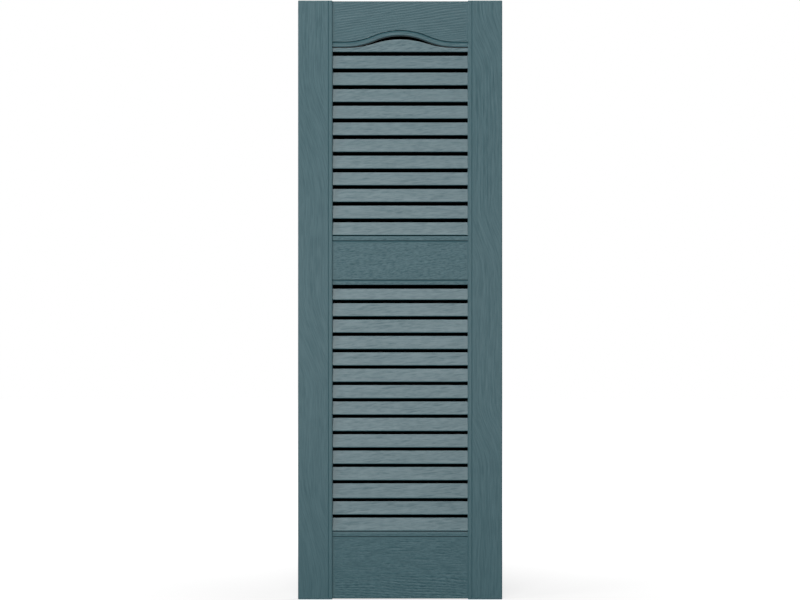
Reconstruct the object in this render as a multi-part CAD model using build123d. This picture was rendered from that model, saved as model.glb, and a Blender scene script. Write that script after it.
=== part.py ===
from build123d import *
from math import acos, cos, radians, sin, tan
import os

# A vinyl louvred shutter with an arched top rail, moulded in one piece and open at the back.
# Millimetres. +Z is up, the front faces -Y, and the back rim lies against the wall at +Y.
# The origin is at the middle of the foot.

# Outside
HEIGHT = 1079.5
WIDTH = 368.3
DEPTH = 25.4
DRAFT = 0.5                  # degrees that the outside walls lean in towards the front
SKIN = 2.5                   # moulded thickness behind every front face
WALL = 2.4                   # thickness of the walls that run back to the rim

# Stiles
STILE_WIDTH = 62.1
STILE_ROUND = 1.4            # outside edges and corners
STILE_INNER_ROUND = 1.2      # edge beside the louvres
STILE_LINE_INSET = 7.2       # scored line, from the inner edge
STILE_LINE_WIDTH = 1.2
STILE_LINE_DEPTH = 0.7

# Rails
RAIL_RECESS = 3.0            # rail faces behind the stile faces
RAIL_END_STEP = 1.3          # stiles run past the rails by this much, top and bottom
RAIL_OUTER_ROUND = 1.2
RAIL_LIP_ROUND = 2.2         # rail edges under a louvre
RAIL_FOOT_ROUND = 1.0        # rail edges above a louvre
BOTTOM_RAIL_TOP = 121.6
MID_RAIL_BOTTOM = 567.0
MID_RAIL_TOP = 655.1
TOP_RAIL_DEPTH = 83.5        # from the shutter's top to the foot of the arch
GROOVE_INSET = 8.7           # floor of the groove, from the rail edge that it follows
GROOVE_DEPTH = 1.6
GROOVE_STEP = 0.7            # height of the groove's steep upper wall
GROOVE_SLOPE = 2.5           # height of its gentler lower wall

# Arch under the top rail: a crown arc and two foot arcs that run out level
ARCH_RISE = 21.0
ARCH_CROWN_RADIUS = 115.0
ARCH_FOOT_RADIUS = 135.0

# Louvres
LOUVRE_THICK = 2.4
LOUVRE_FACE = 23.5           # upright height of a louvre's face
LOUVRE_LEAN = 17.0           # degrees that the face leans back from upright
LOUVRE_RECESS = 4.5          # noses behind the stile faces
NOSE_ROUND = 1.1
UPPER_PITCH = 30.06
LOWER_PITCH = 29.58
SILL_SLOT = 1.2              # open slot between a rail's top edge and the first louvre
TALL_LOUVRE = 3              # louvre, counted from the bottom rail, at the mould's length joint
TALL_EXTRA = 2.8
MID_RAIL_SLOT = 7.2          # open slot between the middle rail and the louvre under it
LEAST_FACE = 6.0             # a louvre that would show less than this is left out

# Trimmed edge of the top louvre, a flatter arch below the rail's
TRIM_DROP = 1.7              # below the foot of the rail's arch
TRIM_RISE = 15.9
TRIM_CROWN_RADIUS = 148.0
TRIM_FOOT_RADIUS = 160.0

# Ribs across the open back
RIB_THICK = 1.8
RIB_HEIGHT = 10.0
STILE_RIB_PITCH = 134.0
RAIL_RIB_PITCH = 61.0

JOIN = 1.0                   # how far a rail or louvre runs into the wall that holds it
PAST = 2.0                   # how far a cut runs past the face that it opens

FRONT_Y = -DEPTH / 2
BACK_Y = DEPTH / 2
RAIL_Y = FRONT_Y + RAIL_RECESS
NOSE_Y = FRONT_Y + LOUVRE_RECESS
LEAN_IN = tan(radians(DRAFT))
INNER_X = WIDTH / 2 - STILE_WIDTH
SIDE_X = WIDTH / 2
BOTTOM_RAIL_FOOT = RAIL_END_STEP
TOP_RAIL_TOP = HEIGHT - RAIL_END_STEP
ARCH_FOOT = HEIGHT - TOP_RAIL_DEPTH


def facing(y):
    """The upright plane at depth y, drawn on in x and z and looking out of the front."""
    return Plane.XZ.offset(-y)


def plate(outline, y_front, y_back):
    """A prism between two depths."""
    return extrude(facing(y_back) * outline, y_back - y_front)


def between(lower, upper):
    """The area between two lines that both run from left to right."""
    ends = [Line(lower @ 0, upper @ 0), Line(lower @ 1, upper @ 1)]
    return make_face(lower.edges() + upper.edges() + ends)


def level(z, half):
    return Line((-half, z), (half, z))


def arch(foot, rise, crown_radius, foot_radius, half):
    """A level line with an arch in the middle: the crown arc meets a foot arc on each side."""
    reach = crown_radius + foot_radius
    turn = acos(1 - rise / reach)
    crown_x, foot_x = crown_radius * sin(turn), reach * sin(turn)
    crown_z = foot + foot_radius * (1 - cos(turn))
    crown = ThreePointArc((-crown_x, crown_z), (0, foot + rise), (crown_x, crown_z))
    left = TangentArc((-foot_x, foot), (-crown_x, crown_z), tangent=(1, 0))
    right = TangentArc((foot_x, foot), (crown_x, crown_z), tangent=(-1, 0))
    flats = [Line((-half, foot), (-foot_x, foot)), Line((foot_x, foot), (half, foot))]
    return Wire([flats[0].edge(), left.edge(), crown.edge(), right.edge(), flats[1].edge()])


def rail_arch(inset, half):
    """The top rail's arched edge, or a line inset from it into the rail."""
    crown_radius, foot_radius = ARCH_CROWN_RADIUS + inset, ARCH_FOOT_RADIUS - inset
    return arch(ARCH_FOOT + inset, ARCH_RISE, crown_radius, foot_radius, half)


def spread(start, end, pitch):
    """Even places between start and end, about a pitch apart."""
    bays = max(1, round((end - start) / pitch))
    return [start + (end - start) * i / bays for i in range(1, bays)]


def leaning_block(x_in, x_out, z_low, z_high, y_front, y_back):
    """A block whose outer side and ends lean in towards the front. Its sizes are those at the rim."""
    at_front, at_back = (BACK_Y - y_front) * LEAN_IN, (BACK_Y - y_back) * LEAN_IN
    plan = Polyline((x_in, y_back), (x_in, y_front), (x_out - at_front, y_front), (x_out - at_back, y_back),
                    close=True)
    side = Polyline((y_front, z_low + at_front), (y_front, z_high - at_front), (y_back, z_high - at_back),
                    (y_back, z_low + at_back), close=True)
    upright = extrude(Plane.XY.offset(z_low - PAST) * make_face(plan), z_high - z_low + 2 * PAST)
    return upright & extrude(Plane.YZ * make_face(side), x_out + PAST)


def stile():
    """The right-hand stile: a channel with closed, rounded ends and cross ribs."""
    body = leaning_block(INNER_X, SIDE_X, 0, HEIGHT, FRONT_Y, BACK_Y)
    inner_edges = body.faces().sort_by(Axis.X)[0].edges()
    back_edges = body.faces().sort_by(Axis.Y)[-1].edges()
    kept_sharp = [e.center() for e in inner_edges + back_edges]
    outer = [e for e in body.edges() if min((e.center() - c).length for c in kept_sharp) > JOIN]
    body = fillet(outer, STILE_ROUND)
    body = fillet(body.faces().sort_by(Axis.X)[0].edges().group_by(Axis.Y)[0], STILE_INNER_ROUND)

    hollow = leaning_block(INNER_X + WALL, SIDE_X - WALL, WALL, HEIGHT - WALL, FRONT_Y + SKIN, BACK_Y + PAST)
    rib = Box(2 * STILE_WIDTH, RIB_HEIGHT, RIB_THICK, align=(Align.CENTER, Align.MIN, Align.CENTER))
    for z in spread(WALL, HEIGHT - WALL, STILE_RIB_PITCH):
        hollow -= Pos(INNER_X, FRONT_Y + SKIN, z) * rib

    x, wide, deep = INNER_X + STILE_LINE_INSET, STILE_LINE_WIDTH, STILE_LINE_DEPTH
    notch = Polyline((x - wide, FRONT_Y - deep), (x, FRONT_Y + deep), (x + wide, FRONT_Y - deep), close=True)
    return body - hollow - extrude(make_face(notch), HEIGHT)


def vee(path):
    """A groove along a line on the rail faces, steep above the line and sloping out below it."""
    path = facing(RAIL_Y) * path
    start, deep = path @ 0, GROOVE_DEPTH
    corners = [(start.X, RAIL_Y - deep, start.Z - 2 * GROOVE_SLOPE), (start.X, RAIL_Y + deep, start.Z),
               (start.X, RAIL_Y - deep, start.Z + 2 * GROOVE_STEP)]
    return sweep(make_face(Polyline(*corners, close=True)), path=path)


def rail(lower, upper, lower_round, upper_round, hollow, grooves):
    """A rail between two edge lines: rounded lips, a ribbed hollow behind and grooves in front."""
    body = plate(between(lower, upper), RAIL_Y, BACK_Y)
    lips = [e for e in body.faces().sort_by(Axis.Y)[0].edges() if abs(e.center().X) < INNER_X]
    middle = (lower @ 0).Y + ((upper @ 0).Y - (lower @ 0).Y) / 2
    for lip_round, below in ((lower_round, True), (upper_round, False)):
        chosen = [e for e in lips if (e.center().Z < middle) == below]
        body = fillet(chosen, lip_round)
        lips = [e for e in body.faces().sort_by(Axis.Y)[0].edges() if abs(e.center().X) < INNER_X]

    space = plate(hollow, RAIL_Y + SKIN, BACK_Y + PAST)
    rib = Box(RIB_THICK, RIB_HEIGHT, HEIGHT, align=(Align.CENTER, Align.MIN, Align.MIN))
    for x in spread(-INNER_X, INNER_X, RAIL_RIB_PITCH):
        space -= Pos(x, RAIL_Y + SKIN, 0) * rib
    return body - space - [vee(g) for g in grooves]


def rails():
    half = INNER_X + JOIN
    bottom = rail(
        level(BOTTOM_RAIL_FOOT, half), level(BOTTOM_RAIL_TOP, half), RAIL_OUTER_ROUND, RAIL_LIP_ROUND,
        between(level(BOTTOM_RAIL_FOOT + WALL, INNER_X), level(BOTTOM_RAIL_TOP - WALL, INNER_X)),
        [level(BOTTOM_RAIL_TOP - GROOVE_INSET, half)])
    middle = rail(
        level(MID_RAIL_BOTTOM, half), level(MID_RAIL_TOP, half), RAIL_FOOT_ROUND, RAIL_LIP_ROUND,
        between(level(MID_RAIL_BOTTOM + WALL, INNER_X), level(MID_RAIL_TOP - WALL, INNER_X)),
        [level(MID_RAIL_BOTTOM + GROOVE_INSET, half), level(MID_RAIL_TOP - GROOVE_INSET, half)])
    top = rail(
        rail_arch(0, half), level(TOP_RAIL_TOP, half), RAIL_FOOT_ROUND, RAIL_OUTER_ROUND,
        between(rail_arch(WALL, INNER_X), level(TOP_RAIL_TOP - WALL, INNER_X)),
        [rail_arch(GROOVE_INSET, half)])
    return [bottom, middle, top]


def louvre(nose, face):
    """A slat whose face leans back from a rounded nose. Its top and foot are level."""
    run = face * tan(radians(LOUVRE_LEAN))
    thick = LOUVRE_THICK / cos(radians(LOUVRE_LEAN))
    section = make_face(Polyline((NOSE_Y, nose), (NOSE_Y + run, nose + face),
                                 (NOSE_Y + run + thick, nose + face), (NOSE_Y + thick, nose), close=True))
    section = fillet(section.vertices().sort_by(Axis.X)[0], NOSE_ROUND)
    return extrude(Plane.YZ * section, INNER_X + JOIN, both=True)


def louvres(sill, head, pitch, tall=0):
    """Louvres from a rail's top edge up to head. The one numbered tall is taller than the rest."""
    slats, nose = [], sill + SILL_SLOT
    while head - nose > LEAST_FACE:
        extra = TALL_EXTRA if len(slats) + 1 == tall else 0
        slats.append((nose, LOUVRE_FACE + extra))
        nose += pitch + extra
    return slats


def lower_louvres():
    head = MID_RAIL_BOTTOM - MID_RAIL_SLOT
    slats = louvres(BOTTOM_RAIL_TOP, head, LOWER_PITCH, TALL_LOUVRE)
    return [louvre(nose, min(face, head - nose)) for nose, face in slats]


def upper_louvres():
    half = INNER_X + JOIN
    foot = ARCH_FOOT - TRIM_DROP
    trim = arch(foot, TRIM_RISE, TRIM_CROWN_RADIUS, TRIM_FOOT_RADIUS, half)
    kept = plate(between(level(MID_RAIL_BOTTOM, half), trim), FRONT_Y, BACK_Y)
    slats = louvres(MID_RAIL_TOP, foot, UPPER_PITCH)
    plain = [louvre(nose, face) for nose, face in slats[:-1]]
    return plain + [louvre(*slats[-1]) & kept]


def shutter():
    right = stile()
    pieces = [mirror(right, about=Plane.YZ)] + rails() + lower_louvres() + upper_louvres()
    return right.fuse(*pieces)


os.makedirs("parts", exist_ok=True)
export_step(shutter(), "parts/shutter.step")
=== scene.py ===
"""A vinyl louvred shutter, moulded in one piece and embossed with wood grain.

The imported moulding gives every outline, rail, louvre and rib. This script cuts its front faces
into fine cells, presses the grain into them, gives the vinyl its finish and sets up the studio.
Metres. +Z is up, the front faces -Y, and the shutter stands on the floor at z = 0.
"""

import math
from collections import namedtuple

import bmesh
import bpy
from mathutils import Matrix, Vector, noise


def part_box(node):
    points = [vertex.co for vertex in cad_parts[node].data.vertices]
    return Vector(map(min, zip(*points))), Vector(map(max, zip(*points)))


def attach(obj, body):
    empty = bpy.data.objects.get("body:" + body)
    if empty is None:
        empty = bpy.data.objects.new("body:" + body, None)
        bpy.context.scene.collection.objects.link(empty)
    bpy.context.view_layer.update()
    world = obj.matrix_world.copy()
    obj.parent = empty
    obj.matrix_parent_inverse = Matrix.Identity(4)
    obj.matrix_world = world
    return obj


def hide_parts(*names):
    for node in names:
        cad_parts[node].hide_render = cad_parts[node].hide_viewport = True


bl_info = {
    "name": "Vinyl louvred shutter",
    "version": (1, 0, 0),
    "blender": (4, 5, 0),
    "location": "3D View > Sidebar > Shutter",
    "description": "A one-piece moulded shutter with embossed wood grain, in a plain studio",
    "category": "Object",
}

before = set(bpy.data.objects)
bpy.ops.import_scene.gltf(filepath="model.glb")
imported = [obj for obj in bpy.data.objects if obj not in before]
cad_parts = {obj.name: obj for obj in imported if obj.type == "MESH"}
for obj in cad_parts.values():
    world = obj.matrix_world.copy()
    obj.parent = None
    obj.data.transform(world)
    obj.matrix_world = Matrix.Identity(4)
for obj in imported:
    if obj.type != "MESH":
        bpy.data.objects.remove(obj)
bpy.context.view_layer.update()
FRONT_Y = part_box("shutter")[0].y

# Where the grained faces lie in the moulding
RAIL_RECESS = 0.003
GROOVE_DEPTH = 0.0016
RAIL_Y = FRONT_Y + RAIL_RECESS
GROOVE_Y = RAIL_Y + GROOVE_DEPTH      # floor of the scored lines along the rails
RAIL_MIDDLES = (0.062, 0.6115, 1.03)  # height of each rail's middle, from the foot
LOUVRE_LEAN = math.radians(17)
LOUVRE_PITCH = 0.0299
TRIMMED_Z = 0.984                     # a louvre above this is the trimmed one under the arch

# Tolerances
MERGE = 1e-6
FACE_REACH = 10 * MERGE               # how near its plane a grained face's middle has to be
GROOVE_FLOOR_REACH = 30 * MERGE               # how near the groove's floor a corner has to be to take painted shade
FACING = 0.9999                       # cosine from which a face counts as facing a direction
FLAT_ANGLE = math.radians(0.5)
SHARP_ANGLE = math.radians(30)
LEAST_GRAINED = 3e-4                  # square metres, below which a flat face stays plain
CROSSING = 0.9                        # share of a face that an edge has to cross to be cut

STILE, RAIL, LOUVRE = 1, 2, 3
LOUVRE_CELLS = (2, 1.4)               # a louvre's cells along and across, against a rail's

# The strokes of one part of the front. slope: how much they rise to the right. width: share of
# the spacing that a stroke takes. fullness: how much of the part they fill. run: about how far
# one runs. tone and relief: how dark they are painted, as shade in their dents, and how deep
# they are. tick and tick_length: strength and length of the small ticks in the shader, which are
# also painted darker as shade in their dents. spacing: against the grain's own. wall: share of a
# stroke's half width that its side wall takes.
Strokes = namedtuple("Strokes", "slope width fullness run tone relief tick tick_length spacing wall",
                     defaults=(1.0, 0.7))
STILE_STROKES = Strokes(slope=0.0, width=0.84, fullness=0.25, run=0.11, tone=0.35, relief=1.0,
                        tick=0.55, tick_length=4.0, spacing=1.35, wall=0.35)
BOTTOM_STROKES = Strokes(slope=0.01, width=0.5, fullness=-0.1, run=0.03, tone=0.8, relief=0.9,
                         tick=1.35, tick_length=1.0)
MIDDLE_STROKES = Strokes(slope=0.11, width=0.5, fullness=0.1, run=0.03, tone=0.8, relief=1.1,
                         tick=1.6, tick_length=0.9)
TOP_STROKES = Strokes(slope=0.145, width=0.55, fullness=0.9, run=0.3, tone=1.9, relief=1.0,
                      tick=0.55, tick_length=3.5)
LOUVRE_STROKES = Strokes(slope=0.09, width=0.6, fullness=0.0, run=0.03, tone=1.2, relief=1.0,
                         tick=0.9, tick_length=1.6)
TRIMMED_STROKES = Strokes(slope=0.25, width=0.6, fullness=0.35, run=0.03, tone=3.0, relief=1.0,
                          tick=0.9, tick_length=1.6)
RAIL_STROKES = (BOTTOM_STROKES, MIDDLE_STROKES, TOP_STROKES)

# Strokes lie in lanes side by side. A step is how far the noise moves from one lane to the next.
DRIFT_STEP = 4.3
DRIFT_RUN = 0.07
DRIFT = 0.15                          # sideways drift of a stroke, as a share of its lane
PRESENCE_STEP = 7.7
PRESENCE_SEED = 31.0
PRESENCE_EDGE = (-0.1, 0.3)           # where a stroke starts to show, and where it is complete

# How far all the strokes of a part wander together: the size, and the noise's scale along and
# across them
Wander = namedtuple("Wander", "size along across")
STILE_WANDER = Wander(0.004, 0.09, 0.03)
RAIL_WANDER = Wander(0.003, 0.09, 0.03)
LOUVRE_WANDER = Wander(0.0015, 0.08, 0.01)
ARROW_WANDER = Wander(0.5, 0.05, 0.05)  # its size is a share of the arrows' pitch

# Seeds keep the parts' noise apart
STILE_SEED = 11.0
STILE_WANDER_SEED = 5.0
RAIL_SEED = 21.0
RAIL_WANDER_SEED = 3.0
ARROW_SEED = 2.0
LOUVRE_SEED = 1.3
LOUVRE_WANDER_SEED = 9.0
LOUVRE_SLOPE_STEP = 1.7
LOUVRE_SLOPE_SEEDS = (0.3, 0.7)

# On each stile the strokes run down and bend towards the right at three places: the height where
# a bend starts, where it ends, and how far the strokes have moved by then. The keys are the sides.
STILE_BENDS = {
    -1: ((0.96, 0.72, 0.055), (0.55, 0.37, 0.050), (0.21, 0.03, 0.040)),
    1: ((1.07, 0.94, 0.035), (0.72, 0.58, 0.035), (0.36, 0.23, 0.035)),
}
BAND_X = 0.156                        # middle of the band of strokes on a stile
BAND_FADE = (0.026, 0.016)            # distances from it where the band starts and is complete
LOW_SHARE = 0.62                      # share of the strokes that is left low on a stile
LOW_FADE = (0.45, 1.0)                # heights between which the strokes grow to the full share
BAND_TICKS = 0.5                      # what the band adds to the strength of the ticks

RAIL_BOW_AT = 0.03                    # distance from the middle where a rail's strokes have
RAIL_BOW = 0.00006                    # bowed by this much
FOOT_FADE = (0.05, 0.028)             # heights where the changes at the foot start and are complete
FOOT_CHANGES = {"slope": -0.06, "fullness": 0.55, "run": 0.07, "tone": 0.4}
ARROW_PITCH = 0.052                   # spacing of the dark arrow-shaped bands in the bottom rail
ARROW_SLOPE = 0.55                    # how steeply an arrow's arms leave its point
ARROW_RISE = 0.014                    # height of the points above the rail's middle
ARROW_EDGE = (0.2, 1.0)
ARROW_CALM = 0.6                      # how much weaker the ticks are inside an arrow
LOUVRE_SLOPE_SPREAD = 0.05

# The vinyl's shader. The two noises' frequencies are along and across the grain, and from one
# seed to the next. A tick counts from -0.45 on a ridge to 0.55 at its floor.
TICK_FREQUENCY = (110, 560, 3)
CLOUD_FREQUENCY = (17, 110, 3)
TICK_NOISE = (0.42, 0.62)
TICK_LEVELS = (-0.45, 0.55)
TICKS_BESIDE = 0.6                    # strength of the ticks beside the strokes, against in them
CLOUD_NOISE = (0.3, 0.7)
CLOUD_TONE = 0.055
PLAIN_TONE = 0.98
# painted shade in the pressed strokes, and the bottom rail's dark bands as grain tone
STROKE_SHADE_AND_BAND_TONE = -0.07
# painted shade in the pressed ticks
TICK_SHADE = -0.33
GROOVE_SHADE_START = 0.5                       # how far towards a groove's floor the painted shade starts
# share of colour and sheen left on a groove's floor: painted shade, where little light reaches
GROOVE_FLOOR_SHADE = 0.1
COLOUR_SHARE = 0.75                   # how closely the colour follows the tone
SHEEN_GAIN = 1.4                      # how closely the sheen follows the tone
TICK_ROUGHNESS = 0.06
TICK_HEIGHT = 0.0003
BUMP_STRENGTH = 0.15

# The studio
FLOOR_HALF = 9
FLOOR_REACH = (0.25, 1.2)             # distances between which the floor's glow grows
FLOOR_GLOW = (0.72, 1.0)
# A dark sheet of painted shade inside the open back, seen only through the slots from the front
SHADE_SHEET_Y = 0.0085
SHADE_SHEET_HALF = 0.1235
SHADE_SHEET_Z = (0.1235, 1.0185)
SHEET_CORNERS = ((-1, 0), (1, 0), (1, 1), (-1, 1))  # side and end of each corner, in order
EYE_X = -0.0003
EYE_Z = 0.5396
SENSOR_WIDTH = 36.0                   # millimetres
CLIP_END = 50
AreaLight = namedtuple("AreaLight", "size place target")
AREA_LIGHTS = {
    "key": AreaLight((3.0, 2.2), (-0.47, -5.34, 4.18), (0, 0, 0.5)),
    "low": AreaLight((2.4, 1.0), (-0.3, -3.4, 0.38), (0, 0, 0.5)),
    "left": AreaLight((1.2, 1.6), (-2.6, -1.9, 1.5), (0, 0, 0.6)),
    "back": AreaLight((2.0, 2.0), (2.2, 2.6, 2.9), (0, 0, 0.5)),
}


class ShutterGrain(bpy.types.PropertyGroup):
    """Sizes of the grain pressed into the front."""

    spacing: bpy.props.FloatProperty(
        name="Stroke spacing", description="Distance between two strokes of the wood figure",
        default=0.0047, min=0.001, unit="LENGTH", precision=4)
    depth: bpy.props.FloatProperty(
        name="Stroke depth", description="How deep a stroke is pressed into stiles and rails",
        default=0.00022, min=0.0, unit="LENGTH", precision=5)
    louvre_depth: bpy.props.FloatProperty(
        name="Louvre stroke depth", description="How deep a stroke is pressed into a louvre",
        default=0.00016, min=0.0, unit="LENGTH", precision=5)
    cell_across: bpy.props.FloatProperty(
        name="Cell across", description="Size of a mesh cell across the strokes",
        default=0.0011, min=0.0005, unit="LENGTH", precision=4)
    cell_along: bpy.props.FloatProperty(
        name="Cell along", description="Size of a mesh cell along the strokes",
        default=0.0042, min=0.001, unit="LENGTH", precision=4)


class ShutterVinyl(bpy.types.PropertyGroup):
    """Colour and finish of the vinyl."""

    colour: bpy.props.FloatVectorProperty(
        name="Colour", description="Colour of the vinyl all through",
        default=(0.038, 0.119, 0.143), min=0.0, max=1.0, size=3, subtype="COLOR")
    specular: bpy.props.FloatProperty(
        name="Specular", description="Strength of the sheen",
        default=0.67, min=0.0, max=1.0, subtype="FACTOR")
    roughness: bpy.props.FloatProperty(
        name="Roughness", description="Roughness of the moulded surface",
        default=0.4, min=0.0, max=1.0, subtype="FACTOR")


class ShutterStudio(bpy.types.PropertyGroup):
    """Camera and lights."""

    view_distance: bpy.props.FloatProperty(
        name="View distance", description="Camera to the front face",
        default=4.5, min=0.5, unit="LENGTH")
    view_width: bpy.props.FloatProperty(
        name="View width", description="Width that the camera frames at the front face",
        default=1.4412, min=0.1, unit="LENGTH")
    key_power: bpy.props.FloatProperty(
        name="Key light", description="Large soft light from above in front",
        default=185.0, min=0.0, unit="POWER")
    low_power: bpy.props.FloatProperty(
        name="Low light", description="Broad weak light from in front, a little to the left",
        default=19.4, min=0.0, unit="POWER")
    left_power: bpy.props.FloatProperty(
        name="Left light", description="Soft weak light from the left",
        default=30.0, min=0.0, unit="POWER")
    back_power: bpy.props.FloatProperty(
        name="Back light", description="Soft light from behind on the right, for the back and side",
        default=58.0, min=0.0, unit="POWER")
    ambient: bpy.props.FloatProperty(
        name="Ambient", description="Strength of the world's light on the shutter",
        default=0.1, min=0.0, max=1.0, subtype="FACTOR")
    floor_colour: bpy.props.FloatVectorProperty(
        name="Floor", description="Colour of the floor",
        default=(0.35, 0.35, 0.35), min=0.0, max=1.0, size=3, subtype="COLOR")


def merged_copy(node):
    """A closed bmesh of a CAD node with its flat faces whole again."""
    bm = bmesh.new()
    bm.from_mesh(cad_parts[node].data)
    bmesh.ops.remove_doubles(bm, verts=bm.verts, dist=MERGE)
    bmesh.ops.dissolve_limit(bm, angle_limit=FLAT_ANGLE, verts=bm.verts, edges=bm.edges)
    bm.normal_update()
    return bm


def region_of(face):
    """Which grained part of the front this face is, or 0."""
    if face.calc_area() < LEAST_GRAINED:
        return 0
    middle, normal = face.calc_center_median(), face.normal
    if normal.y < -FACING and abs(middle.y - FRONT_Y) < FACE_REACH:
        return STILE
    if normal.y < -FACING and abs(middle.y - RAIL_Y) < FACE_REACH:
        return RAIL
    lean = Vector((0, -math.cos(LOUVRE_LEAN), math.sin(LOUVRE_LEAN)))
    return LOUVRE if normal.dot(lean) > FACING else 0


def sliced(bm, faces, axis, pitch):
    """Cuts faces by even planes across an axis and returns all that they become."""
    coordinates = [v.co[axis] for f in faces for v in f.verts]
    start, end = min(coordinates), max(coordinates)
    count = max(1, round((end - start) / pitch))
    normal = Vector((axis == 0, axis == 1, axis == 2))
    behind, ahead = [], list(faces)
    for step in range(1, count):
        place = start + (end - start) * step / count
        crossed = [f for f in ahead if min(v.co[axis] for v in f.verts) < place - MERGE]
        rest = [f for f in ahead if min(v.co[axis] for v in f.verts) >= place - MERGE]
        geometry = {e for f in crossed for e in (f, *f.edges, *f.verts)}
        cut = bmesh.ops.bisect_plane(bm, geom=list(geometry), dist=MERGE, plane_co=normal * place,
                                     plane_no=normal)
        pieces = [e for e in cut["geom"] if isinstance(e, bmesh.types.BMFace)]
        past = [f for f in pieces if f.calc_center_median()[axis] > place]
        behind += [f for f in pieces if f.calc_center_median()[axis] <= place]
        ahead = rest + past
    return behind + ahead


def span(face, axis):
    """How far a face reaches along an axis."""
    places = [v.co[axis] for v in face.verts]
    return max(places) - min(places)


def cut_strips(bm, faces, axis, count):
    """Cuts four-sided faces across an axis into count even strips."""
    edges = {e for f in faces for e in f.edges
             if abs(e.verts[0].co[axis] - e.verts[1].co[axis]) > CROSSING * span(f, axis)}
    if count > 1:
        bmesh.ops.subdivide_edges(bm, edges=list(edges), cuts=count - 1, use_grid_fill=True)


def cut_cells(bm, region, sizes):
    """Cuts every grained face into cells, each region's with its own width and height.

    Four-sided faces are cut together with all others that get as many cells. The rest, such as
    the trimmed louvre and the arched rail, are sliced one by one.
    """
    batch = bm.faces.layers.int.new("batch")
    whole = [f for f in bm.faces if f[region]]
    batches = {}
    for face in [f for f in whole if len(f.verts) == 4]:
        wide, high = sizes[face[region]]
        across = max(1, round(span(face, 0) / wide))
        up = max(1, round(span(face, 2) / high))
        face[batch] = batches.setdefault((face[region], across, up), len(batches) + 1)
    for face in [f for f in whole if not f[batch]]:
        wide, high = sizes[face[region]]
        sliced(bm, sliced(bm, [face], 2, high), 0, wide)
    for (_, across, up), number in batches.items():
        for axis, count in ((2, up), (0, across)):
            cut_strips(bm, [f for f in bm.faces if f[batch] == number], axis, count)


def smooth_between(low, high, value):
    """From 0 at low to 1 at high, level at both ends. low may be the larger one."""
    t = min(1.0, max(0.0, (value - low) / (high - low)))
    return t * t * (3 - 2 * t)


def wandering(wander, along, across, seed):
    """How far the strokes have wandered at this place."""
    return wander.size * noise.noise((along / wander.along, across / wander.across, seed))


def stroke_depth(kind, along, across, grain, seed):
    """Depth of the strokes here, from 0 at the face to 1 at the floor of a stroke."""
    lane_place = across / (kind.spacing * grain.spacing)
    lane = math.floor(lane_place)
    offset = DRIFT * noise.noise((lane * DRIFT_STEP, along / DRIFT_RUN, seed))
    nearness = 1 - abs(lane_place - lane - 0.5 - offset) / (0.5 * kind.width)
    if nearness <= 0:
        return 0.0
    presence = noise.noise((lane * PRESENCE_STEP, along / kind.run, seed + PRESENCE_SEED))
    shown = smooth_between(*PRESENCE_EDGE, kind.fullness + presence)
    return smooth_between(0, kind.wall, nearness) * shown


def stile_figure(place, grain):
    """Broad bands with narrow ridges between them, down the middle of the stile's width."""
    kind = STILE_STROKES
    side = 1 if place.x > 0 else -1
    seed = STILE_SEED * side
    shift = sum(move * smooth_between(0, 1, (top - place.z) / (top - foot))
                for top, foot, move in STILE_BENDS[side])
    wander = wandering(STILE_WANDER, place.z, place.x, STILE_WANDER_SEED * side)
    across = place.x - shift + wander
    share = LOW_SHARE + (1 - LOW_SHARE) * smooth_between(*LOW_FADE, place.z)
    middle = smooth_between(*BAND_FADE, abs(abs(place.x) - BAND_X)) * share
    deep = stroke_depth(kind, place.z, across, grain, seed) * middle
    flow = (place.z / kind.tick_length, across, seed)
    return flow, kind.tone * deep, kind.relief * deep, kind.tick + BAND_TICKS * middle


def arrow_band(place):
    """How dark the arrow-shaped bands of the bottom rail are here, from 0 to 1."""
    turn = place.x - abs(place.z - RAIL_MIDDLES[0] - ARROW_RISE) / ARROW_SLOPE
    phase = turn / ARROW_PITCH + wandering(ARROW_WANDER, place.x, place.z, ARROW_SEED)
    return smooth_between(*ARROW_EDGE, math.cos(math.tau * phase))


def rail_figure(place, grain):
    """Strokes that rise to the right, and low in the bottom rail some that fall."""
    number = min(range(3), key=lambda i: abs(place.z - RAIL_MIDDLES[i]))
    kind = RAIL_STROKES[number]
    seed = RAIL_SEED + number
    band = 0.0
    if kind is BOTTOM_STROKES:
        low = smooth_between(*FOOT_FADE, place.z)
        kind = kind._replace(**{name: getattr(kind, name) + change * low
                                for name, change in FOOT_CHANGES.items()})
        band = (1 - low) * arrow_band(place)
    wander = wandering(RAIL_WANDER, place.x, place.z, RAIL_WANDER_SEED + number)
    bow = RAIL_BOW * (place.x / RAIL_BOW_AT) ** 2
    across = place.z - place.x * kind.slope + bow + wander
    deep = stroke_depth(kind, place.x, across, grain, seed)
    flow = (place.x / kind.tick_length, across, seed)
    # The darker of the stroke's painted shade and the arrow band's own grain tone
    return flow, max(kind.tone * deep, band), kind.relief * deep, kind.tick * (1 - ARROW_CALM * band)


def louvre_figure(place, grain):
    """A few faint strokes, and more and darker ones on the trimmed louvre under the arch."""
    kind = TRIMMED_STROKES if place.z > TRIMMED_Z else LOUVRE_STROKES
    number = round(place.z / LOUVRE_PITCH)
    seed = number * LOUVRE_SEED
    slope = kind.slope
    if kind is LOUVRE_STROKES:
        slope += LOUVRE_SLOPE_SPREAD * noise.noise((number * LOUVRE_SLOPE_STEP, *LOUVRE_SLOPE_SEEDS))
    wander = wandering(LOUVRE_WANDER, place.x, place.z, LOUVRE_WANDER_SEED)
    across = place.z - place.x * slope + wander
    deep = stroke_depth(kind, place.x, across, grain, seed)
    flow = (place.x / kind.tick_length, across, seed)
    return flow, kind.tone * deep, kind.relief * deep, kind.tick


FIGURES = {STILE: stile_figure, RAIL: rail_figure, LOUVRE: louvre_figure}


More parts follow.
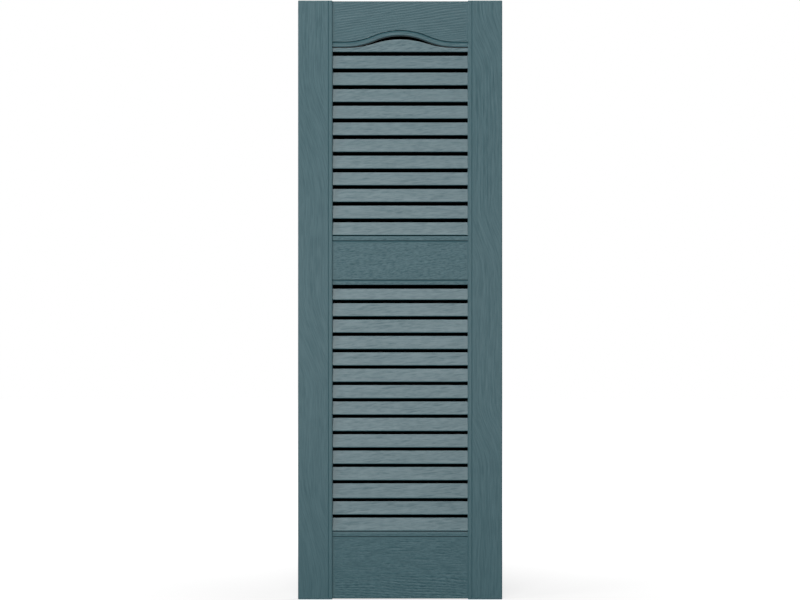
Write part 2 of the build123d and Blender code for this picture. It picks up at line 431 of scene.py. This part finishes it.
def press_grain(bm, grain):
    """Cuts the front faces into cells and moves the cells' corners in along the strokes.

    Four values stay on the corners for the vinyl's shader: where the corner lies along and across
    the grain, how dark its stroke is (painted shade in its dent, and in the bottom rail the grain's
    dark bands), how strong the ticks are, and whether it is on the floor of a scored line, which gets
    painted shade.
    """
    region = bm.faces.layers.int.new("region")
    flow = bm.verts.layers.float_vector.new("flow")
    stroke = bm.verts.layers.float.new("stroke")
    grained = bm.verts.layers.float.new("grained")
    seam = bm.verts.layers.float.new("seam")
    for face in bm.faces:
        face[region] = region_of(face)
    along, across = LOUVRE_CELLS
    cut_cells(bm, region, {STILE: (grain.cell_across, grain.cell_along),
                           RAIL: (grain.cell_along, grain.cell_across),
                           LOUVRE: (along * grain.cell_along, across * grain.cell_across)})
    bm.normal_update()
    depths = {STILE: grain.depth, RAIL: grain.depth, LOUVRE: grain.louvre_depth}
    moves = []
    for vert in bm.verts:
        # Corners on a scored line's floor are marked for painted shade
        vert[seam] = float(abs(vert.co.y - GROOVE_Y) < GROOVE_FLOOR_REACH)
        numbers = {f[region] for f in vert.link_faces}
        number = max(numbers)
        if number == 0:
            continue
        # dark: the painted shade in the stroke's dent, and the bottom rail's dark bands
        vert[flow], dark, deep, strength = FIGURES[number](vert.co, grain)
        if len(numbers) == 1:
            vert[stroke], vert[grained] = dark, strength
            moves.append((vert, vert.normal * -deep * depths[number]))
    for vert, move in moves:
        vert.co += move


def finished_piece(bm, name, material):
    """Makes a piece of a bmesh, smooth over its curves and sharp at its edges."""
    bm.normal_update()
    for face in bm.faces:
        face.smooth = True
    for edge in bm.edges:
        edge.smooth = len(edge.link_faces) == 2 and edge.calc_face_angle(math.pi) < SHARP_ANGLE
    mesh = bpy.data.meshes.new(name)
    bm.to_mesh(mesh)
    bm.free()
    if "custom_normal" in mesh.attributes:
        mesh.attributes.remove(mesh.attributes["custom_normal"])
    mesh.materials.clear()
    mesh.materials.append(material)
    piece = bpy.data.objects.new(name, mesh)
    bpy.context.scene.collection.objects.link(piece)
    return piece


class Wiring:
    """A material's or the world's nodes, by short calls."""

    def __init__(self, owner):
        owner.use_nodes = True
        self.tree = owner.node_tree
        self.tree.nodes.clear()

    def add(self, kind, inputs=None, **settings):
        """A new node. Each input is a number, a colour or another node's output."""
        node = self.tree.nodes.new(kind)
        for name, value in settings.items():
            setattr(node, name, value)
        for name, value in (inputs or {}).items():
            socket = node.inputs[name]
            if isinstance(value, bpy.types.NodeSocket):
                self.tree.links.new(value, socket)
            else:
                socket.default_value = value
        return node

    def attribute(self, name, output="Fac"):
        """A value that press_grain left on the corners."""
        return self.add("ShaderNodeAttribute", attribute_name=name).outputs[output]

    def math(self, operation, *values, clamp=False):
        """The result of one operation on numbers and outputs."""
        node = self.add("ShaderNodeMath", dict(enumerate(values)), operation=operation,
                        use_clamp=clamp)
        return node.outputs[0]

    def ranged(self, value, source=(0, 1), target=(0, 1)):
        """An output carried over from one range to another, and held inside it."""
        ends = {"From Min": source[0], "From Max": source[1],
                "To Min": target[0], "To Max": target[1]}
        return self.add("ShaderNodeMapRange", {"Value": value, **ends}).outputs[0]

    def stretched_noise(self, place, frequency, **inputs):
        """Noise with its own frequency in each direction."""
        scaled = self.add("ShaderNodeMapping", {"Vector": place, "Scale": frequency}).outputs[0]
        settings = {name.title(): value for name, value in inputs.items()}
        node = self.add("ShaderNodeTexNoise", {"Vector": scaled, "Scale": 1.0, **settings})
        return node.outputs["Fac"]


def vinyl_material(vinyl):
    """Coloured vinyl whose tone and sheen drop in the strokes, ticks and scored lines as painted shade
    in these dents, and in the bottom rail's dark bands of grain.
    """
    material = bpy.data.materials.new("vinyl_embossed")
    w = Wiring(material)
    flow = w.attribute("flow", "Vector")
    stroke = w.attribute("stroke")
    grained = w.attribute("grained")
    seam = w.attribute("seam")
    ticks = w.stretched_noise(flow, TICK_FREQUENCY, detail=2.0, roughness=0.6)
    clouds = w.stretched_noise(flow, CLOUD_FREQUENCY, detail=1.0)

    tick = w.ranged(ticks, TICK_NOISE, TICK_LEVELS)
    strength = w.math("MULTIPLY", w.ranged(stroke, target=(TICKS_BESIDE, 1.0)), grained)
    pressed = w.math("MULTIPLY", tick, strength)

    cloud = w.ranged(clouds, CLOUD_NOISE, (-CLOUD_TONE, CLOUD_TONE))
    clouded = w.math("MULTIPLY_ADD", cloud, w.ranged(grained), PLAIN_TONE)
    # Painted shade in the pressed strokes, and the bottom rail's dark bands of grain
    stroked = w.math("MULTIPLY_ADD", stroke, STROKE_SHADE_AND_BAND_TONE, clouded)
    # Painted shade in the pressed ticks
    tone = w.math("MULTIPLY_ADD", pressed, TICK_SHADE, stroked)
    # Painted shade on the floor of the scored lines, dimming colour and sheen
    groove_shade = w.ranged(seam, (GROOVE_SHADE_START, 1.0), (1.0, GROOVE_FLOOR_SHADE))

    softened = w.math("MULTIPLY_ADD", tone, COLOUR_SHARE, 1 - COLOUR_SHARE)
    shade = w.math("MULTIPLY", softened, groove_shade)
    colour = w.add("ShaderNodeVectorMath", {0: vinyl.colour[:], "Scale": shade}, operation="SCALE")
    # The sheen follows the tone: the painted shade in strokes and ticks dims it, and the clouds vary it
    sheen = w.math("MULTIPLY_ADD", tone, SHEEN_GAIN * vinyl.specular,
                   (1 - SHEEN_GAIN) * vinyl.specular, clamp=True)
    gloss = w.math("MULTIPLY", sheen, groove_shade)
    rough = w.ranged(pressed, target=(vinyl.roughness, vinyl.roughness + TICK_ROUGHNESS))
    height = w.math("MULTIPLY", pressed, -1.0)
    bump = w.add("ShaderNodeBump", {"Height": height, "Strength": BUMP_STRENGTH,
                                    "Distance": TICK_HEIGHT})
    shader = w.add("ShaderNodeBsdfPrincipled", {"Base Color": colour.outputs[0], "Roughness": rough,
                                                "Specular IOR Level": gloss,
                                                "Normal": bump.outputs[0]})
    w.add("ShaderNodeOutputMaterial", {"Surface": shader.outputs[0]})
    return material


class SHUTTER_OT_moulding(bpy.types.Operator):
    """Presses wood grain into the front of the moulding and gives it its vinyl"""

    bl_idname = "shutter.moulding"
    bl_label = "Grained moulding"

    def execute(self, context):
        bm = merged_copy("shutter")
        press_grain(bm, context.scene.shutter_grain)
        piece = finished_piece(bm, "shutter_moulding", vinyl_material(context.scene.shutter_vinyl))
        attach(piece, "root")
        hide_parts("shutter")
        return {"FINISHED"}


def aimed(data, name, place, target):
    """Adds a lamp or camera that looks from place towards target."""
    thing = bpy.data.objects.new(name, data)
    bpy.context.scene.collection.objects.link(thing)
    thing.location = place
    thing.rotation_euler = (Vector(target) - Vector(place)).to_track_quat("-Z", "Y").to_euler()
    return thing


def area_light(name, light, power):
    """Adds one of AREA_LIGHTS."""
    lamp = bpy.data.lights.new(name, "AREA")
    lamp.shape = "RECTANGLE"
    lamp.size, lamp.size_y = light.size
    lamp.energy = power
    return aimed(lamp, name, light.place, light.target)


def stage_sheet(name, corners, material):
    """A flat sheet of the stage from its four corners."""
    bm = bmesh.new()
    bm.faces.new([bm.verts.new(c) for c in corners])
    mesh = bpy.data.meshes.new(name)
    bm.to_mesh(mesh)
    bm.free()
    mesh.materials.append(material)
    sheet = bpy.data.objects.new(name, mesh)
    bpy.context.scene.collection.objects.link(sheet)
    return sheet


def floor_material(colour):
    """Pale floor that takes the shutter's shadow and reads white to the camera where it is lit."""
    material = bpy.data.materials.new("pale_floor")
    w = Wiring(material)
    seen = w.add("ShaderNodeLightPath").outputs["Is Camera Ray"]
    place = w.add("ShaderNodeTexCoord").outputs["Object"]
    reach = w.add("ShaderNodeVectorMath", {0: place}, operation="LENGTH").outputs["Value"]
    lift = w.math("MULTIPLY", seen, w.ranged(reach, FLOOR_REACH, FLOOR_GLOW))
    matt = w.add("ShaderNodeBsdfDiffuse", {"Color": (*colour, 1)}).outputs[0]
    glow = w.add("ShaderNodeEmission", {"Strength": lift}).outputs[0]
    both = w.add("ShaderNodeAddShader", {0: matt, 1: glow}).outputs[0]
    w.add("ShaderNodeOutputMaterial", {"Surface": both})
    return material


def slot_shade_material():
    """Painted shade behind the slots: dark seen from the front and clear from behind, for light as well
    as for the eye.
    """
    material = bpy.data.materials.new("dark_backing")
    w = Wiring(material)
    seen = w.add("ShaderNodeLightPath").outputs["Is Camera Ray"]
    behind = w.add("ShaderNodeNewGeometry").outputs["Backfacing"]
    front = w.math("SUBTRACT", seen, behind, clamp=True)
    clear = w.add("ShaderNodeBsdfTransparent").outputs[0]
    dark = w.add("ShaderNodeEmission", {"Strength": 0.0}).outputs[0]
    mix = w.add("ShaderNodeMixShader", {0: front, 1: clear, 2: dark}).outputs[0]
    w.add("ShaderNodeOutputMaterial", {"Surface": mix})
    return material


def studio_world(ambient):
    """White to the camera, and a weaker even light on the shutter."""
    world = bpy.data.worlds.new("white_studio")
    bpy.context.scene.world = world
    w = Wiring(world)
    path = w.add("ShaderNodeLightPath").outputs
    seen = w.math("ADD", path["Is Camera Ray"], path["Is Transmission Ray"], clamp=True)
    strength = w.ranged(seen, target=(ambient, 1.0))
    back = w.add("ShaderNodeBackground", {"Color": (1, 1, 1, 1), "Strength": strength}).outputs[0]
    w.add("ShaderNodeOutputWorld", {"Surface": back})


class SHUTTER_OT_studio(bpy.types.Operator):
    """Sets up the floor, the dark sheet of painted shade behind the slots, the lights and the camera"""

    bl_idname = "shutter.studio"
    bl_label = "Studio"

    def execute(self, context):
        studio = context.scene.shutter_studio
        stage_sheet("floor", [(FLOOR_HALF * side, FLOOR_HALF * (2 * end - 1), 0)
                              for side, end in SHEET_CORNERS],
                    floor_material(studio.floor_colour))
        # The dark sheet of painted shade behind the slots
        stage_sheet("slot_backing", [(SHADE_SHEET_HALF * side, SHADE_SHEET_Y, SHADE_SHEET_Z[end])
                                     for side, end in SHEET_CORNERS],
                    slot_shade_material())
        studio_world(studio.ambient)
        for name, light in AREA_LIGHTS.items():
            area_light(f"{name}_light", light, getattr(studio, f"{name}_power"))

        camera = bpy.data.cameras.new("camera")
        camera.sensor_width = SENSOR_WIDTH
        camera.lens = camera.sensor_width * studio.view_distance / studio.view_width
        camera.clip_end = CLIP_END
        eye = Vector((EYE_X, FRONT_Y - studio.view_distance, EYE_Z))
        context.scene.camera = aimed(camera, "camera", eye, eye + Vector((0, 1, 0)))
        context.scene.view_settings.view_transform = "Standard"
        return {"FINISHED"}


class SHUTTER_PT_panel(bpy.types.Panel):
    """Lists the shutter's operators with their sizes and colours"""

    bl_idname = "SHUTTER_PT_panel"
    bl_label = "Vinyl shutter"
    bl_space_type = "VIEW_3D"
    bl_region_type = "UI"
    bl_category = "Shutter"

    def draw(self, context):
        scene = context.scene
        for settings, operators in (("shutter_grain", ()), ("shutter_vinyl", ("shutter.moulding",)),
                                    ("shutter_studio", ("shutter.studio",))):
            group = getattr(scene, settings)
            box = self.layout.box()
            for name in group.__annotations__:
                box.prop(group, name)
            for operator in operators:
                box.operator(operator)


CLASSES = (ShutterGrain, ShutterVinyl, ShutterStudio, SHUTTER_OT_moulding, SHUTTER_OT_studio,
           SHUTTER_PT_panel)
GROUPS = {"shutter_grain": ShutterGrain, "shutter_vinyl": ShutterVinyl, "shutter_studio": ShutterStudio}


def register():
    """Adds the classes and their settings to Blender."""
    for cls in CLASSES:
        bpy.utils.register_class(cls)
    for name, group in GROUPS.items():
        setattr(bpy.types.Scene, name, bpy.props.PointerProperty(type=group))


def unregister():
    """Takes them out again."""
    for name in GROUPS:
        delattr(bpy.types.Scene, name)
    for cls in reversed(CLASSES):
        bpy.utils.unregister_class(cls)


def main():
    """Builds the shutter and its studio."""
    register()
    bpy.ops.shutter.moulding()
    bpy.ops.shutter.studio()
    bpy.context.view_layer.update()


if __name__ == "__main__":
    main()
